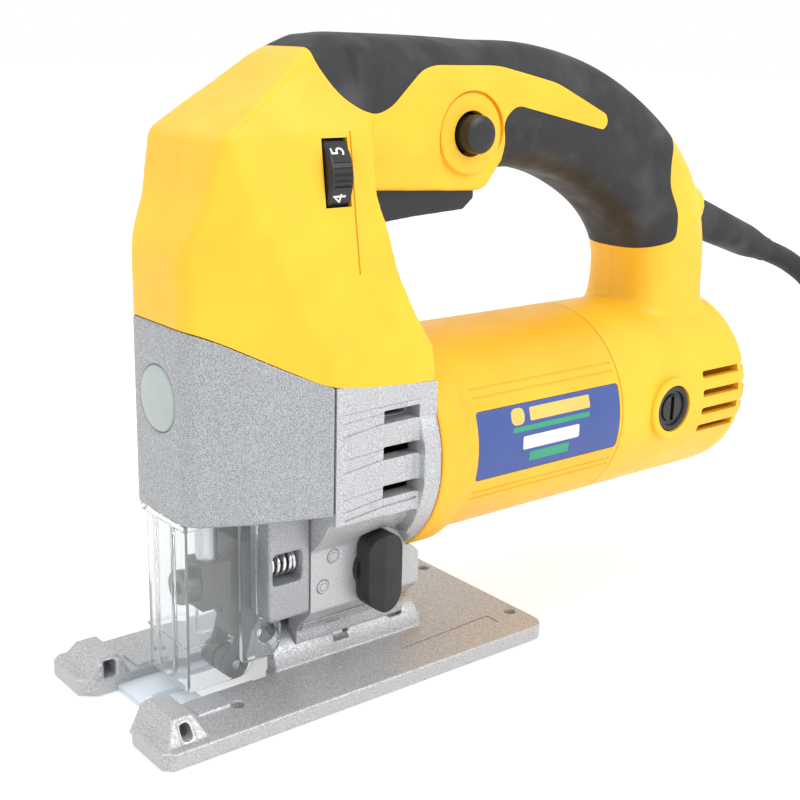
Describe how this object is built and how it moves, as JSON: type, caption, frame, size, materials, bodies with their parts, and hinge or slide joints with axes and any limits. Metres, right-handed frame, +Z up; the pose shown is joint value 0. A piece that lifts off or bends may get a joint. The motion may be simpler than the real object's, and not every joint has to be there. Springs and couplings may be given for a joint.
{
  "type": "jigsaw power tool",
  "caption": "Corded D-handle jigsaw with trigger and lock button, speed wheel, orbital action, clear blade guard and tilting slotted shoe.",
  "frame": {"origin": "on the sole plane, on the middle plane of the saw, at half the shoe's length", "axes": "+Z up, +X towards the cord end; -Y is the side with the orbit knob, speed wheel and lock button"},
  "size_m": [0.522, 0.109, 0.2027],
  "materials": {
    "yellow_shell": "satin moulded",
    "rubber_grip": "matt soft-touch",
    "cast_silver": "sparkle silver paint",
    "steel_shoe": "sand cast, painted",
    "black_plastic": "satin",
    "label": "printed foil",
    "plug_grey": "satin",
    "circuit_green": "board",
    "brass": "turned",
    "carbon": "carbon, dull",
    "core_steel": "laminated",
    "copper": "copper",
    "steel": "ground",
    "dark_steel": "black oxide",
    "clear_guard": "clear moulded",
    "clear_insert": "clear moulded",
    "cord_rubber": "matt"
  },
  "bodies": {
    "saw": {"housing_left": "yellow_shell", "housing_right": "yellow_shell", "motor_housing": "yellow_shell", "grip_left": "rubber_grip", "grip_right": "rubber_grip", "gear_case_front": "cast_silver", "gear_case_rear": "cast_silver", "switch_body": "black_plastic", "brush_cap_left": "black_plastic", "brush_cap_right": "black_plastic", "cord_clamp": "black_plastic", "name_plate": "label", "front_plug": "plug_grey", "speed_module": "circuit_green", "brush_holders": "brass", "plunger_bushes": "brass", "carbon_brushes": "carbon", "stator_core": "core_steel", "field_coils": "copper", "motor_bearings": "steel", "gear_axle": "steel", "arm_pivot_pin": "steel", "stop_pin": "steel", "arm_spring": "steel", "clamp_plate": "steel", "shoe_bolts": "dark_steel", "housing_screws": "dark_steel", "case_screws": "dark_steel", "blade_guard": "clear_guard", "strain_relief": "cord_rubber", "cord": "cord_rubber", "cord_coil": "cord_rubber", "plug": "cord_rubber"},
    "trigger": {"trigger": "black_plastic"},
    "lock_button": {"lock_button": "black_plastic"},
    "speed_dial": {"speed_dial": "black_plastic"},
    "orbit_knob": {"orbit_knob": "black_plastic"},
    "plunger": {"plunger": "steel", "blade_clamp": "dark_steel", "clamp_screw": "dark_steel"},
    "rotor": {"armature": "core_steel", "commutator": "copper", "cooling_fan": "black_plastic"},
    "drive_gear": {"drive_gear": "steel"},
    "roller_arm": {"roller_arm": "dark_steel", "roller_pin": "steel"},
    "blade_roller": {"blade_roller": "dark_steel"},
    "shoe": {"shoe": "steel_shoe", "slot_insert": "clear_insert"}
  },
  "joints": [
    {"name": "trigger_pull", "type": "slide", "parent": "saw", "child": "trigger", "axis": [0, 0, 1], "range_m": [0, 0.005], "stiffness_N_per_m": 500, "springref_m": -0.002},
    {"name": "lock_press", "type": "slide", "parent": "saw", "child": "lock_button", "axis": [0, 1, 0], "range_m": [0, 0.003], "stiffness_N_per_m": 300, "springref_m": -0.001},
    {"name": "speed_turn", "type": "hinge", "parent": "saw", "child": "speed_dial", "pos_m": [-0.007, -0.013, 0.162], "axis": [1, 0, 0], "range_deg": [-135, 135]},
    {"name": "orbit_turn", "type": "hinge", "parent": "saw", "child": "orbit_knob", "pos_m": [0.011, -0.02, 0.0365], "axis": [0, 1, 0], "range_deg": [0, 90]},
    {"name": "plunger_stroke", "type": "slide", "parent": "saw", "child": "plunger", "axis": [0, 0, 1], "range_m": [-0.01, 0.01]},
    {"name": "motor_spin", "type": "hinge", "parent": "saw", "child": "rotor", "pos_m": [0, 0, 0.0725], "axis": [1, 0, 0], "continuous": true},
    {"name": "gear_spin", "type": "hinge", "parent": "saw", "child": "drive_gear", "pos_m": [0, 0, 0.098], "axis": [1, 0, 0], "continuous": true},
    {"name": "arm_swing", "type": "hinge", "parent": "saw", "child": "roller_arm", "pos_m": [-0.008, 0, 0.0335], "axis": [0, 1, 0], "range_deg": [0, 3]},
    {"name": "roller_spin", "type": "hinge", "parent": "roller_arm", "child": "blade_roller", "pos_m": [-0.0323, 0, 0.0085], "axis": [0, 1, 0], "continuous": true},
    {"name": "shoe_tilt", "type": "hinge", "parent": "saw", "child": "shoe", "pos_m": [0, 0, 0.003], "axis": [1, 0, 0], "range_deg": [-15, 15]}
  ],
  "couplings": [
    {"joint": "gear_spin", "follows": "motor_spin", "ratio": -0.15254}
  ]
}
